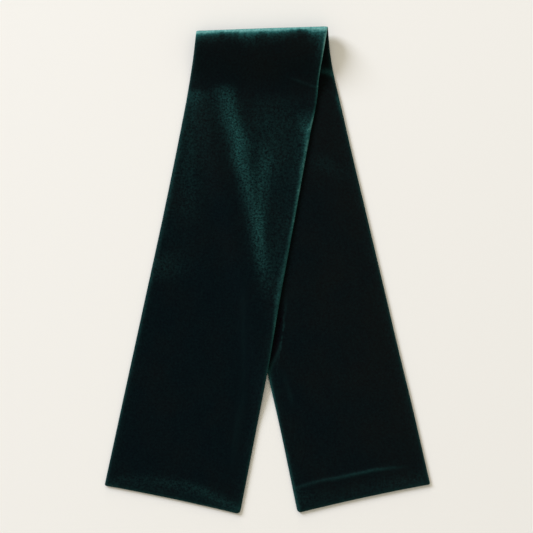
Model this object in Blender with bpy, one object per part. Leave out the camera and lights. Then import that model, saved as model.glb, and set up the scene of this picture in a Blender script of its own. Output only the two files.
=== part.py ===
"""A velvet scarf, folded once across its middle and laid flat with its two tails fanned apart.

Two equal velvet strips are sewn together all round, right sides out. The outer strip runs round
the outside of the fold and shows on the front tail. The inner strip runs round the inside of the
fold and shows on the back tail. Each strip is built in three stretches, one object each: its front
tail, its turn round the fold, and its back tail.

Sizes are millimetres, and MM turns them into Blender's metres. +X is to the right, +Y towards the
fold, and +Z up from the surface that the scarf lies on. The origin is the middle of its footprint.
"""

from collections import namedtuple

import bpy
import numpy as np

MM = 0.001

# Cloth
WALL = 1.7  # one velvet strip with its pile
GAP = 0.3  # between the two strips, and between stretches of one strip
TAIL_THICK = 2 * WALL + GAP
HALF_THICK = TAIL_THICK / 2  # from a tail's underside up to the surface between its strips
EDGE_ROLL = 4.5  # how far in from an edge the cloth starts to round down
EDGE_SHARE = 0.3  # part of the wall that is left at the very edge

# How the tails lie
STACK_STEP = TAIL_THICK + GAP  # what the front tail climbs to lie on the back tail
CLIMB_CLEAR = 5.0  # the front tail stays up for this far outside the back tail's edge
CLIMB = 32.0  # and then comes down to the surface over this distance
TURN_DEPTH = 46.0  # the turn ends and the tails start this far from the fold

# The fold, which stands higher and settles later at its right end than at its left
FOLD_HEIGHT_LEFT = 20.0
FOLD_HEIGHT_RIGHT = 27.0
SETTLE_LEFT = 85.0  # the front tail is down on the back tail this far from the fold
SETTLE_RIGHT = 106.0
OUTERMOST_SHARE = 0.68  # the fold's outermost line lies at this part of its height
UNDER_REACH = 29.0  # the underside lifts off the surface this far in from that line

# Bows in the outline
FOLD_BOW = 0.5  # how far the middle of the fold stands out past a straight line
HEM_BOW = 1.6  # how far the middle of each hem stands in from a straight line
BOW_FADE = 0.15  # part of a tail's length over which each bow dies away

# The outline from above. Each row is a section across a tail, from a point on its left edge to a
# point on its right edge. Share 0 is the fold and share 1 is the hem, before its corners are
# rounded.
Section = namedtuple("Section", "share left_x left_y right_x right_y")

FRONT_SECTIONS = (
    Section(0.00, -105.9, 357.8, 90.6, 364.1),
    Section(0.06, -110.9, 316.2, 82.8, 319.3),
    Section(0.10, -115.2, 289.1, 77.8, 290.2),
    Section(0.15, -121.0, 255.3, 74.2, 253.9),
    Section(0.21, -128.9, 214.6, 65.6, 210.4),
    Section(0.40, -155.1, 85.9, 40.4, 72.3),
    Section(0.60, -184.6, -49.7, 14.0, -72.9),
    Section(0.68, -196.4, -103.9, 4.4, -131.0),
    Section(0.80, -214.1, -185.2, -12.3, -218.2),
    Section(1.00, -243.9, -322.8, -41.1, -365.7),
)
BACK_SECTIONS = (
    Section(0.00, -105.9, 357.8, 90.6, 364.1),
    Section(0.06, -97.0, 313.7, 94.8, 322.0),
    Section(0.20, -76.3, 212.9, 115.1, 226.5),
    Section(0.40, -46.6, 68.9, 147.2, 90.1),
    Section(0.60, -17.0, -75.0, 179.6, -46.4),
    Section(0.72, 1.9, -161.4, 198.9, -128.2),
    Section(0.80, 15.2, -219.0, 212.3, -182.8),
    Section(1.00, 45.6, -364.0, 244.4, -321.0),
)

# A tail's two hem corners are rounded: the outer one is sharp, the inner one blunt. long_cells is
# the number of grid cells from the end of the turn to the first row by the hem.
Tail = namedtuple("Tail", "name sections left_corner right_corner long_cells")
FRONT = Tail("front", FRONT_SECTIONS, left_corner=2.5, right_corner=5.5, long_cells=30)
BACK = Tail("back", BACK_SECTIONS, left_corner=5.5, right_corner=2.5, long_cells=12)

# Soft ridges on the cloth that shows. Each runs straight between its two ends, and fades out there.
Ridge = namedtuple("Ridge", "tail x0 y0 x1 y1 half_width height")
RIDGES = (
    Ridge("front", -76.0, 300.0, -22.0, 120.0, 24.0, 1.3),
    Ridge("front", -42.0, 190.0, 2.0, 0.0, 22.0, 1.4),
    Ridge("front", 20.0, 296.0, 82.0, 268.0, 14.0, 0.9),
    Ridge("back", 38.0, -325.0, 216.0, -288.0, 6.0, 0.8),
)

# Where the grid of points has its rows and columns
EDGE_COLUMNS = (0.0, 0.5, 1.8, EDGE_ROLL)  # distances in from each side edge
MIDDLE_CELLS = 18  # between the two rolled edges
HEM_ROWS = (42.0, 37.0, 32.0, 20.0, EDGE_ROLL + 4.0, EDGE_ROLL, 1.8, 0.5, 0.0)  # up from the hem
UNDER_ROWS = (TURN_DEPTH - GAP / 2, 38.0, 33.5)  # down from the fold, on its underside
TOP_ROWS = (15.0, 21.0, 28.0, 37.0, TURN_DEPTH - GAP / 2)  # down from the fold, on its top
ROUND_CELLS = 16  # round the fold
EDGE_SAMPLES = 60  # points at which the back tail's left edge is read
SHARP_ANGLE = 50.0  # degrees

VELVET_COLOUR = (0.0045, 0.0080, 0.0085, 1.0)
VELVET_ROUGHNESS = 0.9


def clear_scene():
    for obj in list(bpy.data.objects):
        bpy.data.objects.remove(obj, do_unlink=True)


def smoothstep(t):
    t = np.clip(t, 0.0, 1.0)
    return t * t * (3 - 2 * t)


def between(left_value, right_value, across):
    return left_value + (right_value - left_value) * across


def tail_length(tail):
    """The tail's length down its middle, from the fold to the hem."""
    fold, hem = tail.sections[0], tail.sections[-1]
    run_x = (hem.left_x + hem.right_x - fold.left_x - fold.right_x) / 2
    run_y = (hem.left_y + hem.right_y - fold.left_y - fold.right_y) / 2
    return float(np.hypot(run_x, run_y))


def edge_curve(tail, column, share):
    """One column of a tail's table at any share of its length, as a smooth curve through its rows."""
    shares = np.array([section.share for section in tail.sections])
    values = np.array([getattr(section, column) for section in tail.sections])
    slopes = np.gradient(values, shares)
    row = np.clip(np.searchsorted(shares, share, side="right") - 1, 0, len(shares) - 2)
    step = shares[row + 1] - shares[row]
    t = (share - shares[row]) / step
    line = between(values[row], values[row + 1], smoothstep(t))
    return line + step * t * (1 - t) * (slopes[row] * (1 - t) - slopes[row + 1] * t)


def edge_points(tail, share):
    """Points on the tail's left and right edges."""
    left = np.column_stack([edge_curve(tail, name, share) for name in ("left_x", "left_y")])
    right = np.column_stack([edge_curve(tail, name, share) for name in ("right_x", "right_y")])
    return left, right


def corner_inset(up_from_hem, radius):
    """How far a rounded hem corner draws its side edge in."""
    inside = np.clip(radius - up_from_hem, 0.0, radius)
    return radius - np.sqrt(radius**2 - inside**2)


def column_rule():
    """For each column of the grid, a fixed distance from the left edge and a share of the width."""
    edge = np.array(EDGE_COLUMNS)
    share = np.arange(1, MIDDLE_CELLS) / MIDDLE_CELLS
    fixed = np.concatenate([edge, EDGE_ROLL * (1 - 2 * share), -edge[::-1]])
    of_width = np.concatenate([0 * edge, share, 0 * edge + 1])
    return fixed, of_width


COLUMN_FIXED, COLUMN_SHARE = column_rule()


def plan_row(tail, down):
    """A row of points across a tail, seen from above, and how far each lies in from its side edge.

    down gives each point's distance from the fold.
    """
    share = down / tail_length(tail)
    left, right = edge_points(tail, share)
    width = np.linalg.norm(right - left, axis=1)
    run = (right - left) / width[:, None]
    up_from_hem = tail_length(tail) - down
    left_inset = corner_inset(up_from_hem, tail.left_corner)
    clear_width = width - left_inset - corner_inset(up_from_hem, tail.right_corner)
    along = COLUMN_FIXED + COLUMN_SHARE * clear_width
    points = left + run * (left_inset + along)[:, None]
    across = along / clear_width
    bow = 4 * across * (1 - across)
    fold_bow = FOLD_BOW * (1 - smoothstep(share / BOW_FADE))
    hem_bow = HEM_BOW * smoothstep(1 - (1 - share) / BOW_FADE)
    points[:, 1] += bow * (fold_bow + hem_bow)
    return points, np.minimum(along, clear_width - along)


def fold_radius():
    """Half the height of the turn at each column, on the surface between the two strips."""
    left, right = edge_points(FRONT, np.zeros(1))
    across = COLUMN_SHARE + COLUMN_FIXED / np.linalg.norm(right - left)
    return (between(FOLD_HEIGHT_LEFT, FOLD_HEIGHT_RIGHT, across) - TAIL_THICK) / 2


def on_back_tail(points):
    """1 over the back tail and close by it, fading to 0 where the front tail is on the surface."""
    left, _ = edge_points(BACK, np.linspace(1.0, 0.0, EDGE_SAMPLES))
    outside = np.interp(points[:, 1], left[:, 1], left[:, 0]) - points[:, 0]
    return smoothstep(1 - (outside - CLIMB_CLEAR) / CLIMB)


def front_height(points, down):
    """The front tail lies on the back tail, hangs over its edge, and rises to the fold."""
    radius = fold_radius()
    start = HALF_THICK + radius
    settle = between(SETTLE_LEFT, SETTLE_RIGHT, COLUMN_SHARE)
    lift = (2 * radius - STACK_STEP) * (1 - smoothstep((down - start) / (settle - start)))
    return HALF_THICK + STACK_STEP * on_back_tail(points) + lift


def surface_row(tail, down):
    """A row on the surface between the two strips, and how far each point lies in from its edge."""
    down = np.full(len(COLUMN_SHARE), down)
    points, inward = plan_row(tail, down)
    height = front_height(points, down) if tail is FRONT else np.full(len(down), HALF_THICK)
    return np.column_stack([points, height]), inward


def round_row(angle):
    """A row on the round of the fold: angle 0 is on its top, and pi on its underside."""
    radius = fold_radius()
    outermost = 2 * radius * OUTERMOST_SHARE
    if angle < np.pi / 2:
        tail, reach, rise = FRONT, radius, 2 * radius - outermost
    else:
        tail, reach, rise = BACK, np.full_like(radius, UNDER_REACH), outermost
    points, inward = plan_row(tail, HALF_THICK + reach * (1 - np.sin(angle)))
    height = HALF_THICK + outermost + rise * np.cos(angle)
    return np.column_stack([points, height]), inward


def turn_rows():
    """Rows round the fold, from its underside to its top."""
    rows = [surface_row(BACK, down) for down in UNDER_ROWS]
    rows += [round_row(angle) for angle in np.linspace(np.pi, 0, ROUND_CELLS + 1)]
    return rows + [surface_row(FRONT, down) for down in TOP_ROWS]


def tail_downs(tail):
    """Distances from the fold of a tail's rows: to the fold on the back, away from it on the front."""
    hem = tail_length(tail) - np.array(HEM_ROWS)
    long_rows = np.linspace(TURN_DEPTH + GAP / 2, hem[0], tail.long_cells + 1)[:-1]
    downs = np.concatenate([long_rows, hem])
    return downs if tail is FRONT else downs[::-1]


def outward_normals(grid):
    """Unit normals that point out of the folded scarf: up on its front, down on its back."""
    normals = np.cross(np.gradient(grid, axis=0), np.gradient(grid, axis=1))
    return normals / np.linalg.norm(normals, axis=2, keepdims=True)


def rounding(inward):
    """Part of the wall that is left at a distance in from the nearest edge."""
    inside = 1 - np.clip(inward / EDGE_ROLL, 0.0, 1.0)
    return between(EDGE_SHARE, 1.0, np.sqrt(1 - inside**2))


def ridge_height(tail, grid):
    """The height of the soft ridges at each point of a tail."""
    height = np.zeros(grid.shape[:2])
    for ridge in RIDGES:
        if ridge.tail != tail.name:
            continue
        run = np.array([ridge.x1 - ridge.x0, ridge.y1 - ridge.y0])
        length = np.hypot(*run)
        from_start = grid[..., :2] - np.array([ridge.x0, ridge.y0])
        along = from_start @ run / length**2
        aside = np.abs(from_start @ np.array([-run[1], run[0]])) / length
        end_fade = np.clip(4 * along * (1 - along), 0.0, 1.0)
        height += ridge.height * (1 - smoothstep(aside / ridge.half_width)) * end_fade
    return height


def wall_mesh(name, outer, inner):
    """A closed wall between two grids of points.

    Both faces split each cell along the same diagonal, so that walls from one grid stay clear.
    """
    rows, columns = outer.shape[:2]
    points = np.concatenate([outer.reshape(-1, 3), inner.reshape(-1, 3)]) * MM

    def corner(row, column, layer):
        return (layer * rows + row) * columns + column

    faces = []
    for row in range(rows - 1):
        for column in range(columns - 1):
            first, last = (row, column), (row + 1, column + 1)
            for half in ((first, (row + 1, column), last), (first, last, (row, column + 1))):
                faces.append([corner(*place, 0) for place in half])
                faces.append([corner(*place, 1) for place in reversed(half)])
    rim = [(row, 0) for row in range(rows)]
    rim += [(rows - 1, column) for column in range(1, columns)]
    rim += [(row, columns - 1) for row in range(rows - 2, -1, -1)]
    rim += [(0, column) for column in range(columns - 2, 0, -1)]
    for here, there in zip(rim, rim[1:] + rim[:1]):
        faces.append([corner(*here, 0), corner(*here, 1), corner(*there, 1), corner(*there, 0)])
    mesh = bpy.data.meshes.new(name)
    mesh.from_pydata(points.tolist(), [], faces)
    mesh.shade_smooth()
    mesh.set_sharp_from_angle(angle=np.radians(SHARP_ANGLE))
    return mesh


def velvet_material(name):
    material = bpy.data.materials.new(name)
    material.use_nodes = True
    shader = material.node_tree.nodes["Principled BSDF"]
    shader.inputs["Base Color"].default_value = VELVET_COLOUR
    shader.inputs["Roughness"].default_value = VELVET_ROUGHNESS
    shader.inputs["Metallic"].default_value = 0.0
    return material


def add_stretch(name, rows, side, carrier, tail=None, ridged=False):
    """One stretch of a strip. side is 1 on the outside of the folded scarf and -1 on its inside."""
    grid = np.array([points for points, _ in rows])
    inward = np.array([row_inward for _, row_inward in rows])
    if tail:
        up_from_hem = tail_length(tail) - tail_downs(tail)
        inward = np.minimum(inward, up_from_hem[:, None])
    thick = WALL * rounding(inward)
    if ridged:
        thick = thick + ridge_height(tail, grid) * rounding(inward)
    away = side * outward_normals(grid)
    near = grid + away * GAP / 2
    far = near + away * thick[..., None]
    mesh = wall_mesh(name, far, near) if side > 0 else wall_mesh(name, near, far)
    mesh.materials.append(velvet_material(f"{name}_velvet"))
    obj = bpy.data.objects.new(name, mesh)
    obj.parent = carrier
    bpy.context.scene.collection.objects.link(obj)


def build_strip(name, side, shown_tail):
    """A whole strip: its turn and its two tails, carried by an empty."""
    strip = bpy.data.objects.new(f"{name}_strip", None)
    bpy.context.scene.collection.objects.link(strip)
    add_stretch(f"{name}_turn", turn_rows(), side, strip)
    for tail in (FRONT, BACK):
        rows = [surface_row(tail, down) for down in tail_downs(tail)]
        add_stretch(f"{name}_{tail.name}", rows, side, strip, tail, ridged=tail is shown_tail)


def main():
    clear_scene()
    build_strip("outer", side=1, shown_tail=FRONT)
    build_strip("inner", side=-1, shown_tail=BACK)


main()
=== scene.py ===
# %% [markdown]
# # A dark green velvet scarf
#
# The scarf is two equal strips of velvet, sewn together all round with the right sides out, folded
# once across its middle and laid flat with its two tails fanned apart. A simulation could drop the
# cloth on a floor, but then its edges would lie where they fell. Here every edge has a known place,
# so the strips are worked out from sizes. The rigid model of the scarf is loaded first. Its solids
# have the true outline and heights, so each velvet strip made here lies where its solids lie, and
# takes their place.

import math
from collections import namedtuple

import bpy
import numpy as np
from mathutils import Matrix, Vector, noise


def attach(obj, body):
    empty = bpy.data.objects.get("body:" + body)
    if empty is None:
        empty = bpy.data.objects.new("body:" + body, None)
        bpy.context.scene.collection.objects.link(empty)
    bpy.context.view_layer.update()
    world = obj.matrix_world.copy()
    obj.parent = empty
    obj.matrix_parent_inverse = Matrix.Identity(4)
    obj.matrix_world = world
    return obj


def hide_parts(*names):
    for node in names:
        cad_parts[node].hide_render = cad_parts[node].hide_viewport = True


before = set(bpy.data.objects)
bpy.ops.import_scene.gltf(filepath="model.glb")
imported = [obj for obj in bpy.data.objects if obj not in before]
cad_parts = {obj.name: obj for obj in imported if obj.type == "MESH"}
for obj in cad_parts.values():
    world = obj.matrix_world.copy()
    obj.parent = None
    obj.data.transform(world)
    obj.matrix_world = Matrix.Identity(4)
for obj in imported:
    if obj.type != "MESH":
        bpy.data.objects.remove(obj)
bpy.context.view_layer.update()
print("solids:", sorted(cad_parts))

# %% [markdown]
# ## The outline
#
# Sizes are in millimetres, and MM turns them into metres. An outline could be a long list of
# points, but a short table is easier to read and to change. A tail is described by sections across
# it, from the fold at share 0 to the hem at share 1. A curve through the sections gives both
# edges, because the edges of a cloth that has been laid down by hand are never quite straight.

# %% The two tails, from above
MM = 0.001

Section = namedtuple("Section", "share left_x left_y right_x right_y")
FRONT_SECTIONS = (
    Section(0.00, -105.9, 357.8, 90.6, 364.1),
    Section(0.06, -110.9, 316.2, 82.8, 319.3),
    Section(0.10, -115.2, 289.1, 77.8, 290.2),
    Section(0.15, -121.0, 255.3, 74.2, 253.9),
    Section(0.21, -128.9, 214.6, 65.6, 210.4),
    Section(0.40, -155.1, 85.9, 40.4, 72.3),
    Section(0.60, -184.6, -49.7, 14.0, -72.9),
    Section(0.68, -196.4, -103.9, 4.4, -131.0),
    Section(0.80, -214.1, -185.2, -12.3, -218.2),
    Section(1.00, -243.9, -322.8, -41.1, -365.7),
)
BACK_SECTIONS = (
    Section(0.00, -105.9, 357.8, 90.6, 364.1),
    Section(0.06, -97.0, 313.7, 94.8, 322.0),
    Section(0.20, -76.3, 212.9, 115.1, 226.5),
    Section(0.40, -46.6, 68.9, 147.2, 90.1),
    Section(0.60, -17.0, -75.0, 179.6, -46.4),
    Section(0.72, 1.9, -161.4, 198.9, -128.2),
    Section(0.80, 15.2, -219.0, 212.3, -182.8),
    Section(1.00, 45.6, -364.0, 244.4, -321.0),
)
Tail = namedtuple("Tail", "name sections left_corner right_corner")
FRONT = Tail("front", FRONT_SECTIONS, left_corner=2.5, right_corner=5.5)
BACK = Tail("back", BACK_SECTIONS, left_corner=5.5, right_corner=2.5)

FOLD_BOW = 0.5  # how far the middle of the fold stands out past a straight line
HEM_BOW = 1.6  # how far the middle of each hem stands in from a straight line
BOW_FADE = 0.15  # part of a tail's length over which each bow dies away


def smoothstep(t):
    t = np.clip(t, 0.0, 1.0)
    return t * t * (3 - 2 * t)


def between(start, end, t):
    return start + (end - start) * t


def tail_length(tail):
    """The tail's length down its middle, from the fold to the hem."""
    fold, hem = tail.sections[0], tail.sections[-1]
    run_x = (hem.left_x + hem.right_x - fold.left_x - fold.right_x) / 2
    run_y = (hem.left_y + hem.right_y - fold.left_y - fold.right_y) / 2
    return float(np.hypot(run_x, run_y))


def edge_curve(tail, column, share):
    """One column of a tail's table at any share of its length, as a smooth curve through its rows."""
    shares = np.array([section.share for section in tail.sections])
    values = np.array([getattr(section, column) for section in tail.sections])
    slopes = np.gradient(values, shares)
    row = np.clip(np.searchsorted(shares, share, side="right") - 1, 0, len(shares) - 2)
    step = shares[row + 1] - shares[row]
    t = (share - shares[row]) / step
    line = between(values[row], values[row + 1], smoothstep(t))
    return line + step * t * (1 - t) * (slopes[row] * (1 - t) - slopes[row + 1] * t)


def edge_points(tail, share):
    """Points on the tail's left and right edges."""
    left = np.column_stack([edge_curve(tail, name, share) for name in ("left_x", "left_y")])
    right = np.column_stack([edge_curve(tail, name, share) for name in ("right_x", "right_y")])
    return left, right


for tail in (FRONT, BACK):
    left, right = edge_points(tail, np.array([0.5]))
    width = np.linalg.norm(right - left)
    print(f"{tail.name} tail: {tail_length(tail):.0f} mm long, {width:.0f} mm wide half way down")

# %% [markdown]
# ## A grid of points across and along the strip
#
# Cloth could start as a plane cut into even squares, but most of them would lie where nothing
# bends. A grid that is worked out row by row can be fine just where the cloth curves. Its columns
# are close together at the two side edges, where the cloth rolls over to the seam, and its rows are
# close together round the fold and at the hems. Distances from the edges stay the same all along,
# so that a rolled edge doesn't widen where the tail does. One grid serves both strips, because they
# are sewn edge to edge.

# %% Columns and plan of the grid
EDGE_COLUMNS = (0.0, 0.2, 0.55, 1.1, 1.9, 3.0, 4.5)  # distances in from each side edge
MIDDLE_CELLS = 88

edge = np.array(EDGE_COLUMNS)
middle = np.arange(1, MIDDLE_CELLS) / MIDDLE_CELLS
COLUMN_SHARE = np.concatenate([0 * edge, middle, 0 * edge + 1])
COLUMN_FIXED = np.concatenate([edge, edge[-1] * (1 - 2 * middle), -edge[::-1]])


def corner_inset(up_from_hem, radius):
    """How far a rounded hem corner draws its side edge in."""
    inside = np.clip(radius - up_from_hem, 0.0, radius)
    return radius - np.sqrt(radius**2 - inside**2)


def plan_row(tail, down):
    """A row of points across a tail, seen from above, and how far each lies in from its side edge."""
    share = down / tail_length(tail)
    left, right = edge_points(tail, share)
    width = np.linalg.norm(right - left, axis=1)
    run = (right - left) / width[:, None]
    up_from_hem = tail_length(tail) - down
    left_inset = corner_inset(up_from_hem, tail.left_corner)
    clear_width = width - left_inset - corner_inset(up_from_hem, tail.right_corner)
    along = COLUMN_FIXED + COLUMN_SHARE * clear_width
    points = left + run * (left_inset + along)[:, None]
    across = along / clear_width
    bow = 4 * across * (1 - across)
    fold_bow = FOLD_BOW * (1 - smoothstep(share / BOW_FADE))
    hem_bow = HEM_BOW * smoothstep(1 - (1 - share) / BOW_FADE)
    points[:, 1] += bow * (fold_bow + hem_bow)
    return points, np.minimum(along, clear_width - along)


print("columns across the strip:", len(COLUMN_SHARE))

# %% [markdown]
# ## How high the cloth lies
#
# The lower tail lies flat. The upper tail lies on it, comes down to the surface beside it, and
# rises to the fold. A fold in velvet isn't pressed, so it stands as a soft round, higher at its
# right end, and its outermost part is clear of the surface. A bend with one radius would look like
# a pipe, so the round has one height and reach above its outermost line and another below it. All
# heights are those of the surface between the two strips.

# %% Heights
WALL = 1.7  # one strip with its pile
GAP = 0.3
TAIL_THICK = 2 * WALL + GAP
HALF_THICK = TAIL_THICK / 2
STACK_STEP = TAIL_THICK + GAP
CLIMB_CLEAR = 5.0  # the upper tail stays up for this far outside the lower tail's edge
CLIMB = 32.0  # and then comes down over this distance
FOLD_HEIGHT_LEFT = 20.0
FOLD_HEIGHT_RIGHT = 27.0
SETTLE_LEFT = 85.0  # the upper tail is down on the lower one this far from the fold
SETTLE_RIGHT = 106.0
OUTERMOST_SHARE = 0.68  # the fold's outermost line lies at this part of its height
UNDER_REACH = 29.0  # the underside lifts off the surface this far in from that line
EDGE_SAMPLES = 200  # points at which the lower tail's left edge is read

fold_left, fold_right = edge_points(FRONT, np.zeros(1))
fold_across = COLUMN_SHARE + COLUMN_FIXED / np.linalg.norm(fold_right - fold_left)
FOLD_RADIUS = (between(FOLD_HEIGHT_LEFT, FOLD_HEIGHT_RIGHT, fold_across) - TAIL_THICK) / 2
lower_left, _ = edge_points(BACK, np.linspace(1.0, 0.0, EDGE_SAMPLES))


def over_lower_tail(points):
    """1 over the lower tail and close by it, fading to 0 where the upper tail is on the surface."""
    outside = np.interp(points[:, 1], lower_left[:, 1], lower_left[:, 0]) - points[:, 0]
    return smoothstep(1 - (outside - CLIMB_CLEAR) / CLIMB)


def front_height(points, down):
    start = HALF_THICK + FOLD_RADIUS
    settle = between(SETTLE_LEFT, SETTLE_RIGHT, COLUMN_SHARE)
    still_up = 1 - smoothstep((down - start) / (settle - start))
    lift = (2 * FOLD_RADIUS - STACK_STEP) * still_up
    return HALF_THICK + STACK_STEP * over_lower_tail(points) + lift


def flat_row(tail, down):
    down = np.full(len(COLUMN_SHARE), down)
    points, inward = plan_row(tail, down)
    height = front_height(points, down) if tail is FRONT else np.full(len(down), HALF_THICK)
    return np.column_stack([points, height]), inward, down


def round_row(angle):
    """A row on the round of the fold: angle 0 is on its top, and pi on its underside."""
    outermost = 2 * FOLD_RADIUS * OUTERMOST_SHARE
    if angle < np.pi / 2:
        tail, reach, rise = FRONT, FOLD_RADIUS, 2 * FOLD_RADIUS - outermost
    else:
        tail, reach, rise = BACK, np.full_like(FOLD_RADIUS, UNDER_REACH), outermost
    down = HALF_THICK + reach * (1 - np.sin(angle))
    points, inward = plan_row(tail, down)
    height = HALF_THICK + outermost + rise * np.cos(angle)
    return np.column_stack([points, height]), inward, down


print("radius of the fold in mm:", FOLD_RADIUS[0].round(1), "to", FOLD_RADIUS[-1].round(1))

# %% [markdown]
# ## Rows from hem to hem
#
# The rows run along the strip, from the hem of the lower tail, round the fold, to the hem of the
# upper tail. Every point remembers which tail it is on, how far it lies from the nearest edge, and
# how far along and across the strip it is. A picture could be wrapped round the cloth instead, but
# these measures let the pile and its marks be drawn in real millimetres on the cloth itself.

# %% The grid
FOLD_ZONE, FOLD_CELL = 60.0, 2.0  # cells are short this far from the fold
HEM_ZONE, HEM_CELL = 70.0, 2.2  # and this far from the hem
LONG_CELL = 3.6  # and longer between
ROUND_CELLS = 18  # round the fold
PAST_ROUND_BACK = 2.0  # the lower tail's first flat row is this far past the round
PAST_ROUND_FRONT = 1.0  # and the upper tail's
HEM_ROWS = (4.5, 3.0, 1.9, 1.1, 0.55, 0.2, 0.0)  # distances up from the hem


def even_steps(start, end, cell):
    """Places from start up to, but not including, end, about one cell apart."""
    return list(np.linspace(start, end, int(round((end - start) / cell)) + 1)[:-1])


def tail_rows(tail, first):
    length = tail_length(tail)
    downs = even_steps(first, FOLD_ZONE, FOLD_CELL)
    downs += even_steps(FOLD_ZONE, length - HEM_ZONE, LONG_CELL)
    downs += even_steps(length - HEM_ZONE, length - HEM_ROWS[0], HEM_CELL)
    downs += [length - row for row in HEM_ROWS]
    return [flat_row(tail, down) for down in downs]


back_rows = tail_rows(BACK, HALF_THICK + UNDER_REACH + PAST_ROUND_BACK)
front_rows = tail_rows(FRONT, HALF_THICK + FOLD_RADIUS.max() + PAST_ROUND_FRONT)
turn_rows = [round_row(angle) for angle in np.linspace(np.pi, 0, ROUND_CELLS + 1)]
rows = back_rows[::-1] + turn_rows + front_rows
GRID = np.array([points for points, _, _ in rows])
DOWN = np.array([down for _, _, down in rows])
half_turn = ROUND_CELLS // 2
ON_FRONT = np.zeros(len(rows), bool)
ON_FRONT[len(back_rows) + half_turn + 1:] = True
up_from_hem = np.where(ON_FRONT, tail_length(FRONT), tail_length(BACK))[:, None] - DOWN
INWARD = np.minimum(np.array([inward for _, inward, _ in rows]), up_from_hem)
steps = np.linalg.norm(np.diff(GRID, axis=0), axis=2).mean(axis=1)
ALONG = np.concatenate([[0.0], np.cumsum(steps)])
ALONG = np.repeat(ALONG[:, None], GRID.shape[1], axis=1)
cross = np.linalg.norm(np.diff(GRID, axis=1), axis=2)
ACROSS = np.concatenate([np.zeros((len(rows), 1)), np.cumsum(cross, axis=1)], axis=1)

print("grid of", GRID.shape[0], "rows by", GRID.shape[1], "columns")

# %% [markdown]
# ## Ridges and swells
#
# Velvet shows every change of slope, so its soft forms matter more than those of other cloth. They
# could be sculpted by eye, but a table says how wide and how high each one is. Each is a ridge
# along a straight line, and fades out at both ends. The strip is rounded down to the seam all
# round, with the sewn allowance inside as a slight swelling next to it.

# %% Forms that stand on the cloth
EDGE_ROLL = 4.5  # how far in from an edge the cloth starts to round down
EDGE_SHARE = 0.3  # part of the thickness that is left at the very edge
ALLOWANCE_IN = 8.0  # the turned-in allowance starts to thin out this far in
ALLOWANCE_SWELL = 0.3

Ridge = namedtuple("Ridge", "tail x0 y0 x1 y1 half_width height")
RIDGES = (
    Ridge("front", -76.0, 300.0, -22.0, 120.0, 24.0, 1.3),
    Ridge("front", -42.0, 190.0, 2.0, 0.0, 22.0, 1.4),
    Ridge("front", 20.0, 296.0, 82.0, 268.0, 5.0, 0.9),
    Ridge("back", 38.0, -325.0, 216.0, -288.0, 4.5, 0.8),
)


def rounding(inward):
    """Part of the strip's thickness that is left at a distance in from the nearest edge."""
    inside = 1 - np.clip(inward / EDGE_ROLL, 0.0, 1.0)
    return between(EDGE_SHARE, 1.0, np.sqrt(1 - inside**2))


def along_and_aside(mark):
    """For each grid point, its share along a mark's line and its distance aside from it."""
    run = np.array([mark.x1 - mark.x0, mark.y1 - mark.y0])
    length = np.hypot(*run)
    from_start = GRID[..., :2] - np.array([mark.x0, mark.y0])
    return from_start @ run / length**2, np.abs(from_start @ np.array([-run[1], run[0]])) / length


def on_tail(name):
    return ON_FRONT[:, None] if name == "front" else ~ON_FRONT[:, None]


def ridge_height(tail_name):
    height = np.zeros(GRID.shape[:2])
    for ridge in RIDGES:
        if ridge.tail != tail_name:
            continue
        along, aside = along_and_aside(ridge)
        end_fade = np.clip(4 * along * (1 - along), 0.0, 1.0)
        height += ridge.height * (1 - smoothstep(aside / ridge.half_width)) * end_fade
    return height * on_tail(tail_name)


def outward_normals(grid):
    normals = np.cross(np.gradient(grid, axis=0), np.gradient(grid, axis=1))
    return normals / np.linalg.norm(normals, axis=2, keepdims=True)


NORMALS = outward_normals(GRID)
print("tallest ridge in mm:", max(ridge.height for ridge in RIDGES))

# %% [markdown]
# ## The two strips
#
# A strip is a closed thin shell: its velvet face, its back against the other strip, and the narrow
# sides between them. A sheet with no thickness would be simpler, but its edges would look like
# paper. Both strips come from the same grid, one outward and one inward, so that they meet at the
# seam with a hair's breadth between them.

# %% Build the strips
SHARP_ANGLE = 70.0  # edges sharper than this many degrees aren't smoothed


def shell(name, side, shown_tail):
    """A strip as a closed mesh. side is 1 outside the fold and -1 inside it."""
    thick = WALL * rounding(INWARD)
    thinning = 1 - smoothstep((INWARD - ALLOWANCE_IN) / EDGE_ROLL)
    swell = ALLOWANCE_SWELL * smoothstep(INWARD / EDGE_ROLL) * thinning
    forms = swell + ridge_height(shown_tail) * rounding(INWARD)
    thick = thick + np.where(on_tail(shown_tail), forms, 0.0)
    away = side * NORMALS
    near = GRID + away * GAP / 2
    far = near + away * thick[..., None]
    outer, inner = (far, near) if side > 0 else (near, far)
    row_count, column_count = GRID.shape[:2]
    index = np.arange(row_count * column_count).reshape(row_count, column_count)
    under = index + index.size
    quads = [
        np.stack([index[:-1, :-1], index[1:, :-1], index[1:, 1:], index[:-1, 1:]], axis=-1),
        np.stack([under[:-1, :-1], under[:-1, 1:], under[1:, 1:], under[1:, :-1]], axis=-1),
    ]
    quads = [quad.reshape(-1, 4) for quad in quads]
    rim = np.concatenate([index[:, 0], index[-1, 1:], index[-2::-1, -1], index[0, -2:0:-1]])
    after = np.roll(rim, -1)
    quads.append(np.stack([rim, rim + index.size, after + index.size, after], axis=-1))
    mesh = bpy.data.meshes.new(name)
    points = np.concatenate([outer.reshape(-1, 3), inner.reshape(-1, 3)]) * MM
    mesh.from_pydata(points.tolist(), [], np.concatenate(quads).tolist())
    mesh.shade_smooth()
    mesh.set_sharp_from_angle(angle=math.radians(SHARP_ANGLE))
    strip = bpy.data.objects.new(name, mesh)
    bpy.context.scene.collection.objects.link(strip)
    return strip


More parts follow.
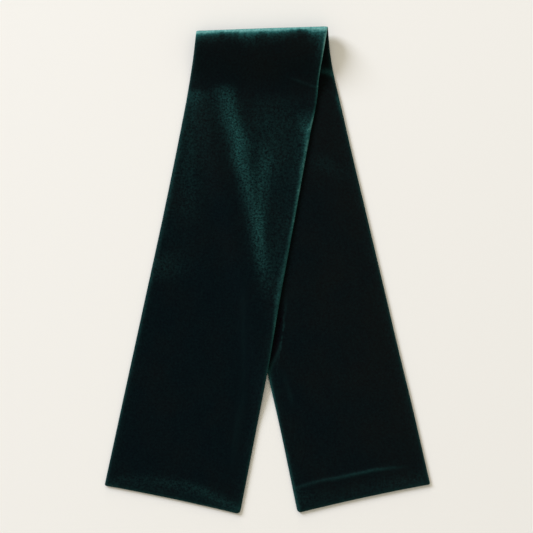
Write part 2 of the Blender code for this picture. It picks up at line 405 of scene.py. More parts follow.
def write_on_points(strip, name, values):
    """Stores a value for each grid point on both faces of a strip."""
    attribute = strip.data.attributes.new(name, "FLOAT", "POINT")
    attribute.data.foreach_set("value", np.tile(values.ravel(), 2).astype(np.float32))


outer_strip = shell("outer_strip", 1, "front")
inner_strip = shell("inner_strip", -1, "back")
for strip in (outer_strip, inner_strip):
    print(strip.name, "has", len(strip.data.polygons), "faces")

# %% [markdown]
# ## Painted sheen where the pile is brushed
#
# Pile that leans towards the light looks pale, and pile that stands up or leans away looks almost
# black. That is light, not a change of colour in the dye, and on a handled scarf it makes soft
# patches and streaks. Here they are painted sheen: pale colour painted on the cloth where the light
# catches the pile. They could be painted by hand on a picture of the cloth, but in a table each mark
# can be read and moved. A streak is a row of spots, each with its place, its reach on either side,
# and its strength. One that runs down a tail has spots at heights on the page, and one that runs
# across has them at places from left to right.

# %% Painted sheen streaks on the upper tail
Streak = namedtuple("Streak", "tail runs spots")
Spot = namedtuple("Spot", "at centre before after strength")
# Painted sheen: each streak is a pale highlight painted into the colour of the cloth.
UPPER_SHEEN_STREAKS = (
    # Main streak
    Streak("front", "down", (
        Spot(281, -65, 13.5, 12.0, 0.0),
        Spot(269, -62, 13.5, 12.0, 0.5),
        Spot(255, -59, 13.5, 12.0, 0.75),
        Spot(228, -53, 13.5, 12.0, 1.0),
        Spot(189, -41, 13.5, 13.5, 1.25),
        Spot(165, -40, 12.0, 12.0, 1.05),
        Spot(141, -32, 12.0, 12.0, 0.85),
        Spot(105, -23, 12.0, 10.5, 0.7),
        Spot(69, -13, 12.0, 9.0, 0.9),
        Spot(42, -11, 10.5, 7.5, 0.95),
        Spot(21, -10, 9.0, 9.0, 0.65),
        Spot(-3, -4, 9.0, 9.0, 0.3),
        Spot(-45, 4, 7.5, 7.5, 0.0),
    )),
    # Its branch
    Streak("front", "down", (
        Spot(195, -8, 9.0, 13.5, 0.0),
        Spot(174, -5, 9.0, 13.5, 0.25),
        Spot(156, -5, 9.0, 12.0, 0.6),
        Spot(135, -7, 10.5, 10.5, 0.55),
        Spot(96, -8, 7.5, 7.5, 0.45),
        Spot(51, -10, 7.5, 7.5, 0.1),
        Spot(30, -10, 7.5, 7.5, 0.0),
    )),
    # Right of the main streak
    Streak("front", "down", (
        Spot(267, 7, 42.0, 45.0, 0.0),
        Spot(249, 7, 42.0, 45.0, 0.11),
        Spot(222, 7, 42.0, 45.0, 0.2),
        Spot(183, 10, 42.0, 42.0, 0.22),
        Spot(153, 13, 39.0, 39.0, 0.18),
        Spot(120, 13, 36.0, 33.0, 0.1),
        Spot(84, 13, 30.0, 27.0, 0.1),
        Spot(39, 10, 27.0, 24.0, 0.13),
        Spot(9, 7, 24.0, 21.0, 0.18),
        Spot(-21, 4, 18.0, 18.0, 0.1),
        Spot(-51, 1, 15.0, 15.0, 0.0),
    )),
    # Left of the main streak
    Streak("front", "down", (
        Spot(276, -92, 39.0, 30.0, 0.0),
        Spot(263, -92, 39.0, 30.0, 0.17),
        Spot(240, -95, 39.0, 30.0, 0.15),
        Spot(188, -104, 39.0, 33.0, 0.12),
        Spot(135, -116, 39.0, 33.0, 0.09),
        Spot(83, -125, 39.0, 30.0, 0.06),
        Spot(30, -137, 36.0, 30.0, 0.02),
        Spot(0, -140, 36.0, 30.0, 0.06),
        Spot(-22, -143, 36.0, 30.0, 0.0),
    )),
    # Patch at the left edge
    Streak("front", "down", (
        Spot(273, -109, 13.5, 9.0, 0.0),
        Spot(264, -107, 13.5, 9.0, 0.45),
        Spot(255, -109, 13.5, 9.0, 0.42),
        Spot(243, -112, 12.0, 9.0, 0.2),
        Spot(218, -115, 10.5, 9.0, 0.1),
        Spot(180, -116, 10.5, 9.0, 0.12),
        Spot(143, -118, 10.5, 9.0, 0.12),
        Spot(98, -116, 10.5, 9.0, 0.08),
        Spot(68, -116, 10.5, 9.0, 0.0),
    )),
    # Patch at the right edge
    Streak("front", "down", (
        Spot(243, 56, 10.5, 18.0, 0.0),
        Spot(227, 56, 10.5, 18.0, 0.4),
        Spot(215, 55, 10.5, 18.0, 0.62),
        Spot(203, 55, 10.5, 18.0, 0.3),
        Spot(180, 50, 9.0, 15.0, 0.12),
        Spot(150, 46, 9.0, 15.0, 0.1),
        Spot(105, 34, 9.0, 12.0, 0.05),
        Spot(60, 29, 9.0, 12.0, 0.06),
        Spot(30, 25, 9.0, 12.0, 0.0),
    )),
    # Lower left patch
    Streak("front", "down", (
        Spot(33, -161, 21.0, 33.0, 0.0),
        Spot(12, -164, 21.0, 33.0, 0.17),
        Spot(0, -167, 21.0, 33.0, 0.13),
        Spot(-21, -173, 21.0, 30.0, 0.0),
    )),
    # Glow at the fold end
    Streak("front", "down", (
        Spot(366, 86, 9.0, 15.0, 1.0),
        Spot(351, 85, 9.8, 15.0, 1.7),
        Spot(344, 85, 9.8, 15.0, 1.3),
        Spot(335, 85, 9.8, 15.0, 0.75),
        Spot(324, 82, 9.0, 13.5, 0.3),
        Spot(309, 80, 9.0, 13.5, 0.0),
    )),
    # Hem patch
    Streak("front", "across", (
        Spot(-239, -325, 9.0, 9.0, 0.25),
        Spot(-215, -315, 12.0, 9.0, 0.12),
        Spot(-176, -315, 12.0, 9.0, 0.15),
        Spot(-143, -319, 12.0, 7.5, 0.22),
        Spot(-116, -325, 10.5, 7.5, 0.26),
        Spot(-92, -333, 10.5, 7.5, 0.3),
        Spot(-71, -345, 9.0, 9.0, 0.3),
        Spot(-53, -354, 7.5, 7.5, 0.4),
        Spot(-38, -360, 7.5, 7.5, 0.4),
    )),
)
print("streaks on the upper tail:", len(UPPER_SHEEN_STREAKS))

# %% [markdown]
# ## The darker tail
#
# The lower tail has less painted sheen and is almost evenly dark. It has a faint painted glow in its
# upper half and a paler painted patch below the crease at its hem. Beside the upper tail it has a
# painted shade, from a negative strength, where the upper tail's edge throws its shadow. The same
# kind of table serves for it, and a table of its own keeps the two tails apart.

# %% Painted sheen and shade on the lower tail
# Painted sheen, and one painted shade with a negative strength.
LOWER_SHEEN_AND_SHADE = (
    # Faint painted sheen
    Streak("back", "across", (
        Spot(58, 159, 10.5, 10.5, 0.0),
        Spot(76, 161, 12.0, 13.5, 0.12),
        Spot(94, 155, 12.0, 13.5, 0.12),
        Spot(118, 144, 12.0, 12.0, 0.04),
        Spot(139, 138, 12.0, 12.0, 0.0),
    )),
    # Painted shade beside the upper tail, where its edge throws a shadow
    Streak("back", "down", (
        Spot(-40, 23.0, 4.5, 4.5, 0.0),
        Spot(-75, 19.5, 5.0, 4.0, -0.13),
        Spot(-90, 17.0, 5.0, 4.0, -0.15),
        Spot(-112, 12.8, 5.0, 4.0, -0.14),
        Spot(-130, 8.8, 4.0, 3.2, -0.08),
        Spot(-145, 5.0, 3.0, 3.0, 0.0),
    )),
    # Below the hem crease
    Streak("back", "across", (
        Spot(40, -340, 13.5, 9.0, 0.15),
        Spot(64, -340, 13.5, 9.0, 0.1),
        Spot(101, -336, 13.5, 9.0, 0.06),
        Spot(146, -328, 13.5, 10.5, 0.07),
        Spot(184, -321, 15.0, 12.0, 0.1),
        Spot(217, -318, 15.0, 13.5, 0.14),
        Spot(238, -318, 15.0, 13.5, 0.2),
    )),
)
print("streaks on the lower tail:", len(LOWER_SHEEN_AND_SHADE))

# %% [markdown]
# ## From streaks to painted light
#
# The painted light at a point is how much of the light the pile is painted to send back there:
# painted sheen where the strengths are positive, and painted shade where they are negative. A streak
# could have a hard border, but brushed pile never has. So each streak is strongest in its middle and
# falls off to both sides in a bell curve, and where two streaks meet they add up.

# %% Painted sheen and shade of the pile


def column_values(rows, column):
    return [getattr(row, column) for row in rows]


def offset_and_strength(streak):
    """For each grid point, its offset from a streak's middle, in reaches, and the strength there."""
    x, y = GRID[..., 0], GRID[..., 1]
    at, aside = (y, x) if streak.runs == "down" else (x, y)
    spots = sorted(streak.spots)
    places = column_values(spots, "at")
    centre, before, after, strength = (
        np.interp(at, places, column_values(spots, column))
        for column in ("centre", "before", "after", "strength"))
    offset = aside - centre
    return offset / np.where(offset < 0, before, after), strength * on_tail(streak.tail)


painted_light = np.zeros(GRID.shape[:2])
for streak in UPPER_SHEEN_STREAKS + LOWER_SHEEN_AND_SHADE:
    offset, strength = offset_and_strength(streak)
    painted_light += strength * np.exp(-offset**2)
print("strongest and weakest nap:", painted_light.max().round(2), painted_light.min().round(2))

# %% [markdown]
# ## Painted highlights on creases
#
# A crease shows as a pale line a few millimetres wide, a painted highlight where the light catches
# its ridge. It is too narrow for the grid to draw cleanly, and a grid that is fine enough would have
# millions of faces. So each grid point only keeps its offset from the nearest crease and the strength
# of its highlight, and the velvet's shader paints the line.

# %% Thin creases, painted as highlights
CREASE_END = 3.0  # nothing is left of a crease this many reaches from its middle
# Each crease here is a pale line of painted highlight.
CREASE_HIGHLIGHTS = (
    # Faint line low down
    Streak("front", "down", (
        Spot(-15, -36.8, 4.5, 4.5, 0.0),
        Spot(-60, -35.2, 3.8, 3.8, 0.06),
        Spot(-120, -35.2, 3.8, 3.8, 0.05),
        Spot(-195, -36.8, 4.5, 4.5, 0.05),
        Spot(-232, -45.8, 4.5, 6.0, 0.1),
        Spot(-270, -50.2, 4.5, 6.0, 0.05),
        Spot(-307, -53.2, 4.5, 4.5, 0.0),
    )),
    # Crease by the fold
    Streak("front", "across", (
        Spot(25, 291.0, 2.2, 2.2, 0.0),
        Spot(36, 287.6, 2.4, 2.1, 0.08),
        Spot(46, 283.9, 2.3, 2.1, 0.22),
        Spot(61, 278.6, 2.3, 2.1, 0.16),
        Spot(76, 273.3, 2.4, 2.1, 0.3),
    )),
    # Bright crease in the corner by the fold
    Streak("back", "across", (
        Spot(67, 303.3, 4.5, 4.5, 0.0),
        Spot(79, 299.5, 5.2, 5.2, 0.55),
        Spot(91, 297.0, 4.0, 5.0, 1.1),
        Spot(103, 291.3, 4.0, 6.0, 1.9),
    )),
    # Line by the upper tail
    Streak("back", "down", (
        Spot(-33, 28.5, 2.4, 2.4, 0.0),
        Spot(-57, 27.0, 2.2, 2.6, 0.18),
        Spot(-72, 24.4, 2.0, 2.6, 0.3),
        Spot(-84, 24.3, 1.9, 2.6, 0.5),
        Spot(-98, 22.5, 1.9, 2.6, 0.45),
        Spot(-106, 21.9, 1.9, 2.6, 0.6),
        Spot(-114, 19.6, 2.2, 3.0, 0.4),
        Spot(-122, 16.8, 2.2, 3.4, 0.35),
        Spot(-132, 11.4, 2.5, 3.8, 0.3),
        Spot(-143, 6.5, 3.0, 3.8, 0.35),
        Spot(-151, 3.0, 3.0, 3.8, 0.4),
        Spot(-171, 6.8, 2.4, 3.0, 0.1),
        Spot(-195, 12.8, 2.4, 3.0, 0.0),
    )),
    # Faint line where the tails part
    Streak("back", "down", (
        Spot(-144, 23.2, 3.8, 3.8, 0.0),
        Spot(-165, 27.8, 3.8, 3.8, 0.07),
        Spot(-189, 35.2, 3.8, 3.8, 0.12),
        Spot(-210, 38.2, 3.8, 3.8, 0.0),
    )),
    # Hem crease
    Streak("back", "across", (
        Spot(37, -328.2, 3.0, 2.4, 0.25),
        Spot(55, -322.2, 3.0, 2.4, 0.4),
        Spot(79, -315.5, 3.0, 2.4, 0.35),
        Spot(106, -311.0, 3.0, 2.4, 0.55),
        Spot(133, -305.2, 3.0, 2.4, 0.6),
        Spot(160, -299.2, 3.0, 2.4, 0.6),
        Spot(181, -296.8, 3.0, 2.4, 0.4),
        Spot(202, -295.0, 3.0, 2.4, 0.12),
        Spot(217, -293.5, 3.0, 2.4, 0.0),
    )),
)


def nearest_crease():
    """For each grid point, its offset from the nearest crease, and the strength of that crease's
    painted highlight.
    """
    nearest = np.full(GRID.shape[:2], np.inf)
    strength_there = np.zeros(GRID.shape[:2])
    for crease in CREASE_HIGHLIGHTS:
        offset, strength = offset_and_strength(crease)
        nearer = on_tail(crease.tail) & (np.abs(offset) < np.abs(nearest))
        nearest = np.where(nearer, offset, nearest)
        strength_there = np.where(nearer, strength, strength_there)
    strength_there = np.where(np.abs(nearest) < CREASE_END, strength_there, 0.0)
    return np.clip(nearest, -CREASE_END, CREASE_END), strength_there


crease_offset, crease_highlight = nearest_crease()
print("creases:", len(CREASE_HIGHLIGHTS))

# %% [markdown]
# ## Painted rim highlights
#
# At every edge the cloth rolls over, the pile fans open and catches the light at a slant, so a thin
# pale rim runs all round, and it is painted on as a highlight. A shader could find the edges by their
# slant to the eye, but then the rims would move with the eye. These go by the distance from the edge.
# They are strongest where the upper tail's right edge stands free over the lower tail, and where an
# edge's rim changes along its way, a table gives its reach and strength at heights on the page.

# %% Painted rim highlights
# The painted highlight at every edge, and its soft inner border
RIM_STRENGTH, RIM_REACH = 0.8, 2.2  # the thin rim at every edge
HALO_STRENGTH, HALO_REACH = 0.27, 5.0  # and its soft inner border

FreeEdge = namedtuple("FreeEdge", "y reach strength")
# Painted highlights of the rims that stand free, with their reach and strength at heights on the page
UPPER_RIGHT_EDGE = (
    FreeEdge(360, 2.6, 4.5),
    FreeEdge(342, 2.2, 9.6),
    FreeEdge(330, 1.9, 8.2),
    FreeEdge(312, 1.8, 5.1),
    FreeEdge(294, 1.8, 4.5),
    FreeEdge(276, 2.0, 4.2),
    FreeEdge(258, 2.6, 1.5),
    FreeEdge(243, 2.6, 1.2),
    FreeEdge(231, 2.4, 3.6),
    FreeEdge(222, 2.8, 6.6),
    FreeEdge(207, 6.0, 2.4),
    FreeEdge(189, 5.3, 3.8),
    FreeEdge(174, 4.3, 3.9),
    FreeEdge(144, 3.9, 3.6),
    FreeEdge(120, 3.6, 3.7),
    FreeEdge(100, 3.6, 2.9),
    FreeEdge(80, 3.0, 3.3),
    FreeEdge(69, 2.8, 3.6),
    FreeEdge(57, 3.3, 2.2),
    FreeEdge(36, 3.5, 2.2),
    FreeEdge(20, 4.3, 1.8),
    FreeEdge(0, 5.0, 2.4),
    FreeEdge(-15, 6.0, 1.9),
    FreeEdge(-36, 6.4, 1.8),
    FreeEdge(-54, 4.6, 2.0),
    FreeEdge(-72, 3.1, 3.1),
    FreeEdge(-84, 2.5, 3.3),
    FreeEdge(-105, 2.0, 2.1),
    FreeEdge(-140, 2.0, 1.8),
    FreeEdge(-152, 2.2, 1.8),
    FreeEdge(-180, 2.5, 0.0),
)
LOWER_RIGHT_EDGE = (
    FreeEdge(275, 3.0, 0.0),
    FreeEdge(258, 4.0, 1.6),
    FreeEdge(240, 4.5, 1.3),
    FreeEdge(218, 3.0, 0.4),
    FreeEdge(195, 3.0, 0.0),
)
LOWER_LEFT_EDGE = (
    FreeEdge(-120, 2.2, 0.0),
    FreeEdge(-145, 2.6, 2.4),
    FreeEdge(-165, 2.6, 2.2),
    FreeEdge(-200, 2.4, 2.1),
    FreeEdge(-240, 2.6, 1.1),
    FreeEdge(-290, 3.6, 1.4),
    FreeEdge(-340, 3.8, 1.5),
    FreeEdge(-364, 4.5, 1.4),
)
UPPER_LEFT_EDGE = (
    FreeEdge(270, 5.0, 0.0),
    FreeEdge(230, 5.0, 0.6),
    FreeEdge(150, 6.0, 0.9),
    FreeEdge(60, 5.0, 0.7),
    FreeEdge(0, 4.5, 0.7),
    FreeEdge(-80, 4.5, 0.8),
    FreeEdge(-200, 4.0, 0.4),
    FreeEdge(-280, 4.0, 0.2),
)


def free_edge_highlight(rows, tail, from_side):
    rows = sorted(rows)
    places = column_values(rows, "y")
    reach = np.interp(GRID[..., 1], places, column_values(rows, "reach"))
    strength = np.interp(GRID[..., 1], places, column_values(rows, "strength"))
    return strength * np.exp(-((from_side / reach) ** 2)) * on_tail(tail)


# The painted rim highlight at every edge; where a free rim is stronger, its highlight is added
rim = RIM_STRENGTH * np.exp(-((INWARD / RIM_REACH) ** 2))
rim += HALO_STRENGTH * np.exp(-INWARD / HALO_REACH)
from_left, from_right = ACROSS, ACROSS[:, -1:] - ACROSS
free_rim_highlights = np.maximum.reduce([
    free_edge_highlight(UPPER_RIGHT_EDGE, "front", from_right),
    free_edge_highlight(UPPER_LEFT_EDGE, "front", from_left),
    free_edge_highlight(LOWER_RIGHT_EDGE, "back", from_right),
    free_edge_highlight(LOWER_LEFT_EDGE, "back", from_left)])
painted_light += np.maximum(free_rim_highlights - rim, 0.0)
print("strongest rim:", free_rim_highlights.max().round(1))

# %% [markdown]
# ## The painted highlight on the fold
#
# On the fold the cloth turns towards the light and the pile opens along a whole band, and that band
# is painted on as a highlight. Its strength falls with the distance from the fold's outermost line,
# and its depth changes along the fold. A clean border would look like a painted stripe. On the real
# cloth it is uneven like a torn edge, because the pile leans in clumps, so a little noise with the
# size of a clump is added to the depth.

# %% The fold's painted highlight
# The highlight's strength at a distance from the fold's outermost line, in parts of the band's depth
FoldGlow = namedtuple("FoldGlow", "part strength")
FOLD_GLOW = (
    FoldGlow(-1.0, 0.0),
    FoldGlow(-0.15, 1.4),
    FoldGlow(0.0, 3.9),
    FoldGlow(0.11, 7.1),
    FoldGlow(0.26, 7.2),
    FoldGlow(0.41, 5.8),
    FoldGlow(0.56, 3.8),
    FoldGlow(0.71, 2.3),
    FoldGlow(0.86, 1.6),
    FoldGlow(1.0, 1.0),
    FoldGlow(1.16, 0.6),
    FoldGlow(1.31, 0.43),
    FoldGlow(1.46, 0.31),
    FoldGlow(1.8, 0.18),
    FoldGlow(2.3, 0.07),
    FoldGlow(3.0, 0.0),
)
FoldDepth = namedtuple("FoldDepth", "x depth")
FOLD_DEPTHS = (
    FoldDepth(-106, 9.0),
    FoldDepth(-84, 8.6),
    FoldDepth(-67, 6.8),
    FoldDepth(-49, 7.7),
    FoldDepth(-31, 11.3),
    FoldDepth(-19, 11.5),
    FoldDepth(-10, 8.5),
    FoldDepth(5, 9.8),
    FoldDepth(23, 9.0),
    FoldDepth(41, 6.8),
    FoldDepth(50, 5.2),
    FoldDepth(58, 7.2),
    FoldDepth(68, 13.0),
    FoldDepth(90, 14.0),
)
CLUMP_WIDTH = 7.0  # size of the clumps that make the band's lower border uneven
CLUMP_SHAPE = 0.6  # a clump's width as a part of its length
# CLUMP_SHARE also changes the painted light from clump to clump
CLUMP_SHARE = 0.16  # part of the band's depth and of the nap that changes from clump to clump


def uneven_clumps():
    """Smooth noise at each grid point, about -1 to 1, that varies along and across the strip."""
    places = np.stack([ACROSS, ALONG * CLUMP_SHAPE], axis=-1).reshape(-1, 2) / CLUMP_WIDTH
    values = [noise.noise(Vector((across, along, 0.0))) for across, along in places]
    return np.array(values).reshape(GRID.shape[:2])


outer_face = GRID + NORMALS * HALF_THICK
from_fold = outer_face[..., 1].max(axis=0) - outer_face[..., 1]
from_fold = np.where(ON_FRONT[:, None], from_fold, -from_fold)
clumps = uneven_clumps()
depth = np.interp(GRID[..., 0], column_values(FOLD_DEPTHS, "x"), column_values(FOLD_DEPTHS, "depth"))
depth = depth * (1 + CLUMP_SHARE * clumps)
fold_highlight = np.interp(
    from_fold / depth, column_values(FOLD_GLOW, "part"), column_values(FOLD_GLOW, "strength"))
print("deepest and shallowest part of the fold band in mm:", depth.max().round(1), depth.min().round(1))

# %% [markdown]
# ## The sides that don't show
#
# Each strip also has a stretch that lies underneath. It could be left plain, but it takes the
# painted sheen and shade of the other tail's shown face, a little weaker, turned over from left to
# right, and the painted rim highlights. The grain shows on flat cloth and fades where a highlight is
# painted: at an edge, on the fold and along a crease. Every measure that the velvet needs is then
# kept on the points.

# %% Painted light on both strips
HIDDEN_SHARE = 0.8  # the hidden faces are a little less marked
# The grain fades where highlights are painted: near an edge, on the fold and along a crease
SMOOTH_REACH = 6.0  # the grain fades where the pile fans open: this far in from an edge
SMOOTH_FOLD_HIGHLIGHT = 3.0  # and where the fold's band is this strong
SMOOTH_CREASE = 2.0  # and this many reaches from a crease's middle
SMOOTHEST = 0.72  # part of the grain that is gone there

# How warm the dark cloth looks, from 0 to 1: by y on the front, by share across on the back
Warmth = namedtuple("Warmth", "place amount")
FRONT_WARMTH = (
    Warmth(-365, 0.2),
    Warmth(-250, 0.1),
    Warmth(0, 0.1),
    Warmth(120, 0.3),
    Warmth(230, 0.5),
    Warmth(365, 0.9),
)
BACK_WARMTH = (
    Warmth(0.0, 0.3),
    Warmth(0.5, 0.5),
    Warmth(1.0, 1.0),
)


def warmth_at(places, rows):
    return np.interp(places, column_values(rows, "place"), column_values(rows, "amount"))


def turned_over(values, shown):
    """The painted marks of the shown tail, laid on the other tail's rows at the same way from the fold.
    """
    shown_rows = np.flatnonzero(shown)
    other_rows = np.flatnonzero(~shown)
    shown_down, other_down = DOWN[shown_rows].mean(axis=1), DOWN[other_rows].mean(axis=1)
    nearest = np.abs(other_down[:, None] - shown_down[None, :]).argmin(axis=1)
    turned = np.zeros_like(values)
    turned[other_rows] = values[shown_rows[nearest]][:, ::-1]
    return turned


outer_painted_light = painted_light * ON_FRONT[:, None] + HIDDEN_SHARE * turned_over(painted_light, ON_FRONT)
outer_painted_light = np.maximum(outer_painted_light, fold_highlight) + rim
inner_painted_light = painted_light * ~ON_FRONT[:, None] + HIDDEN_SHARE * turned_over(painted_light, ~ON_FRONT) + rim
smooth_rim = np.exp(-((INWARD / SMOOTH_REACH) ** 2))
smooth_crease = (crease_highlight > 0) * np.exp(-((crease_offset / SMOOTH_CREASE) ** 2))
smooth_inner = np.maximum(smooth_rim, smooth_crease)
smooth_outer = np.maximum(smooth_inner, np.clip(fold_highlight / SMOOTH_FOLD_HIGHLIGHT, 0.0, 1.0))
warmth = np.where(
    ON_FRONT[:, None],
    warmth_at(GRID[..., 1], FRONT_WARMTH),
    warmth_at(ACROSS / ACROSS[:, -1:], BACK_WARMTH))
for strip, strip_painted_light, smooth in (
        (outer_strip, outer_painted_light, smooth_outer), (inner_strip, inner_painted_light, smooth_inner)):
    write_on_points(strip, "painted_light", strip_painted_light * (1 + CLUMP_SHARE * clumps))
    write_on_points(strip, "grain", 1 - SMOOTHEST * smooth)
    write_on_points(strip, "crease_offset", crease_offset)
    write_on_points(strip, "crease_highlight", crease_highlight)
    write_on_points(strip, "warmth", warmth)
    write_on_points(strip, "along", ALONG * MM)
    write_on_points(strip, "across", ACROSS * MM)
# The strongest painted light on each strip
print("strongest brushing:", outer_painted_light.max().round(1), inner_painted_light.max().round(1))

# %% [markdown]
# ## The colours of velvet
#
# Velvet could be made of millions of hairs, but from here a hair is far smaller than a dot of the
# picture. So the light that the pile sends back is painted as one colour at each point. The dye is a
# deep bottle green, so dark that the cloth is nearly black where the pile stands up, and the deep
# colours also hold the faint painted sheen that standing pile sends straight back. Where it is
# brushed or fans open it turns green, and at its most open a pale blue-green: that green is painted
# sheen and the pale blue-green a painted highlight.

# %% Colours and a helper for nodes
# Deep: the dye with a little painted sheen. Then the painted sheen green and the painted highlight.
DEEP_COOL = (0.0018, 0.0027, 0.0040, 1.0)
DEEP_WARM = (0.0036, 0.0033, 0.0035, 1.0)
PAINTED_SHEEN_GREEN = (0.0068, 0.0259, 0.0248, 1.0)
PAINTED_HIGHLIGHT = (0.188, 0.330, 0.300, 1.0)


def add_node(nodes, kind, settings=None, **inputs):
    """A shader node with its settings and the values of its inputs."""
    node = nodes.new(kind)
    for name, value in (settings or {}).items():
        setattr(node, name, value)
    for name, value in inputs.items():
        node.inputs[name.replace("_", " ")].default_value = value
    return node


def painted(nodes, name):
    """A value that was kept on the points of the cloth."""
    return add_node(nodes, "ShaderNodeAttribute", {"attribute_name": name}).outputs["Fac"]


def maths(nodes, links, operation, first, second, clamped=False):
    """Two values put together. Each is the output of a node or a plain number."""
    node = add_node(nodes, "ShaderNodeMath", {"operation": operation, "use_clamp": clamped})
    for place, value in enumerate((first, second)):
        if isinstance(value, float):
            node.inputs[place].default_value = value
        else:
            links.new(value, node.inputs[place])
    return node.outputs["Value"]


def noise_range(nodes, links, place, noise_inputs, ends):
    """Noise at a place on the cloth, with its range stretched: ends names its old and new limits."""
    cloud = add_node(nodes, "ShaderNodeTexNoise", **noise_inputs)
    links.new(place, cloud.inputs["Vector"])
    stretched = add_node(nodes, "ShaderNodeMapRange", **ends)
    links.new(cloud.outputs["Fac"], stretched.inputs["Value"])
    return stretched.outputs["Result"]


print("deepest and palest colours:", DEEP_COOL[:3], PAINTED_HIGHLIGHT[:3])

# %% [markdown]
# ## Grain and lines in the pile
#
# Tufts of pile up to three millimetres across make the grain, and faint lines run along the strip,
# as the rows of the weave do. An image could be tiled over the cloth, but the eye finds where it
# repeats. Noise doesn't repeat. For the lines it is stretched along the strip.

# %% Grain and lines
TUFT_NOISE = {"Scale": 340.0, "Detail": 3.0, "Roughness": 0.7}
TUFT_ENDS = {"From_Min": 0.35, "From_Max": 0.79, "To_Min": 0.0, "To_Max": 3.0}
LINE_STRETCH = (260.0, 26.0, 1.0)  # lines to the metre across, along and through the strip
LINE_NOISE = {"Scale": 1.0, "Detail": 2.0}
LINE_ENDS = {"From_Min": 0.3, "From_Max": 0.7, "To_Min": 0.82, "To_Max": 1.18}


def grain_share(nodes, links, place):
    """Part of the painted light that a tuft sends back. It fades to 1 where the grain does."""
    speckle = noise_range(nodes, links, place, TUFT_NOISE, TUFT_ENDS)
    faded = add_node(nodes, "ShaderNodeMix", {"data_type": "FLOAT"}, A=1.0)
    links.new(painted(nodes, "grain"), faded.inputs["Factor"])
    links.new(speckle, faded.inputs["B"])
    return faded.outputs["Result"]


def line_share(nodes, links):
    """Part of the painted light that a line along the strip sends back."""
    on_strip = add_node(nodes, "ShaderNodeCombineXYZ")
    links.new(painted(nodes, "across"), on_strip.inputs["X"])
    links.new(painted(nodes, "along"), on_strip.inputs["Y"])
    stretch = add_node(nodes, "ShaderNodeMapping", {"vector_type": "POINT"}, Scale=LINE_STRETCH)
    links.new(on_strip.outputs["Vector"], stretch.inputs["Vector"])
    return noise_range(nodes, links, stretch.outputs["Vector"], LINE_NOISE, LINE_ENDS)


print("size of a tuft in mm:", round(1000 / TUFT_NOISE["Scale"], 1))

# %% [markdown]
# ## From painted light to colour
#
# The painted light on the points and the painted highlight of a crease are added, and the grain and
# the lines in the pile change them a little. Then the sum picks a colour between deep, the painted
# sheen green and the painted highlight. A ramp of colours could do this, but two mixes keep the
# sheen green free to grow past full strength. The deep colour drifts between cool and warm over a few
# centimetres, as worn velvet does.

# %% Painted light and colour
# The least painted sheen, so that even standing pile isn't quite black
LEAST_PAINTED_SHEEN = 0.06  # even standing pile isn't quite black
# The painted light at which the painted highlight starts, and at which it is full
PALE_FROM, PALE_TO = 3.0, 14.0  # the nap at which the cloth starts to turn pale, and is all pale
DRIFT_NOISE = {"Scale": 16.0, "Detail": 2.0}
DRIFT_ENDS = {"From_Min": 0.3, "From_Max": 0.7, "To_Min": -0.3, "To_Max": 0.3}


def crease_highlight_line(nodes, links):
    """The painted highlight of a crease at a point: full on its middle and none a few reaches away."""
    offset = painted(nodes, "crease_offset")
    squared = maths(nodes, links, "MULTIPLY", offset, offset)
    falling = maths(nodes, links, "MULTIPLY", squared, -1.0)
    profile = add_node(nodes, "ShaderNodeMath", {"operation": "EXPONENT"})
    links.new(falling, profile.inputs[0])
    return maths(nodes, links, "MULTIPLY", profile.outputs["Value"], painted(nodes, "crease_highlight"))


def painted_light_amount(nodes, links, place):
    painted_light_there = maths(nodes, links, "ADD", painted(nodes, "painted_light"), LEAST_PAINTED_SHEEN)
    with_crease = maths(nodes, links, "ADD", painted_light_there, crease_highlight_line(nodes, links))
    grained = maths(nodes, links, "MULTIPLY", with_crease, grain_share(nodes, links, place))
    return maths(nodes, links, "MULTIPLY", grained, line_share(nodes, links))


def deep_colour(nodes, links, place):
    drift = noise_range(nodes, links, place, DRIFT_NOISE, DRIFT_ENDS)
    warmth = maths(nodes, links, "ADD", painted(nodes, "warmth"), drift, clamped=True)
    deep = add_node(nodes, "ShaderNodeMix", {"data_type": "RGBA"})
    deep.inputs["A"].default_value = DEEP_COOL
    deep.inputs["B"].default_value = DEEP_WARM
    links.new(warmth, deep.inputs["Factor"])
    return deep.outputs["Result"]


def pile_colour(nodes, links, place):
    amount = painted_light_amount(nodes, links, place)
    green = add_node(nodes, "ShaderNodeMix", {"data_type": "RGBA", "clamp_factor": False})
    links.new(deep_colour(nodes, links, place), green.inputs["A"])
    green.inputs["B"].default_value = PAINTED_SHEEN_GREEN
    links.new(amount, green.inputs["Factor"])
    paleness = add_node(nodes, "ShaderNodeMapRange", From_Min=PALE_FROM, From_Max=PALE_TO)
    links.new(amount, paleness.inputs["Value"])
    with_pale = add_node(nodes, "ShaderNodeMix", {"data_type": "RGBA"})
    links.new(paleness.outputs["Result"], with_pale.inputs["Factor"])
    links.new(green.outputs["Result"], with_pale.inputs["A"])
    with_pale.inputs["B"].default_value = PAINTED_HIGHLIGHT
    return with_pale.outputs["Result"]


print("nap of standing pile:", LEAST_PAINTED_SHEEN)

# %% [markdown]
# ## The velvet itself
#
# Velvet has no gloss. It has a sheen, which lights up only at a slant, as the sides of the pile do.
# A glossy layer would put bright spots on it, and that is how satin looks. The sheen is kept faint,
# because most of the light is in the colour already. A fine relief stands for the single fibres.

# %% The velvet material
SHEEN_TINT = (0.125, 0.45, 0.43, 1.0)
SHEEN_WEIGHT = 0.4
SHEEN_ROUGHNESS = 0.4
FIBRE_NOISE = {"Scale": 1300.0, "Detail": 1.0}
FIBRE_HEIGHT = 0.0003  # in metres
FIBRE_STRENGTH = 0.25


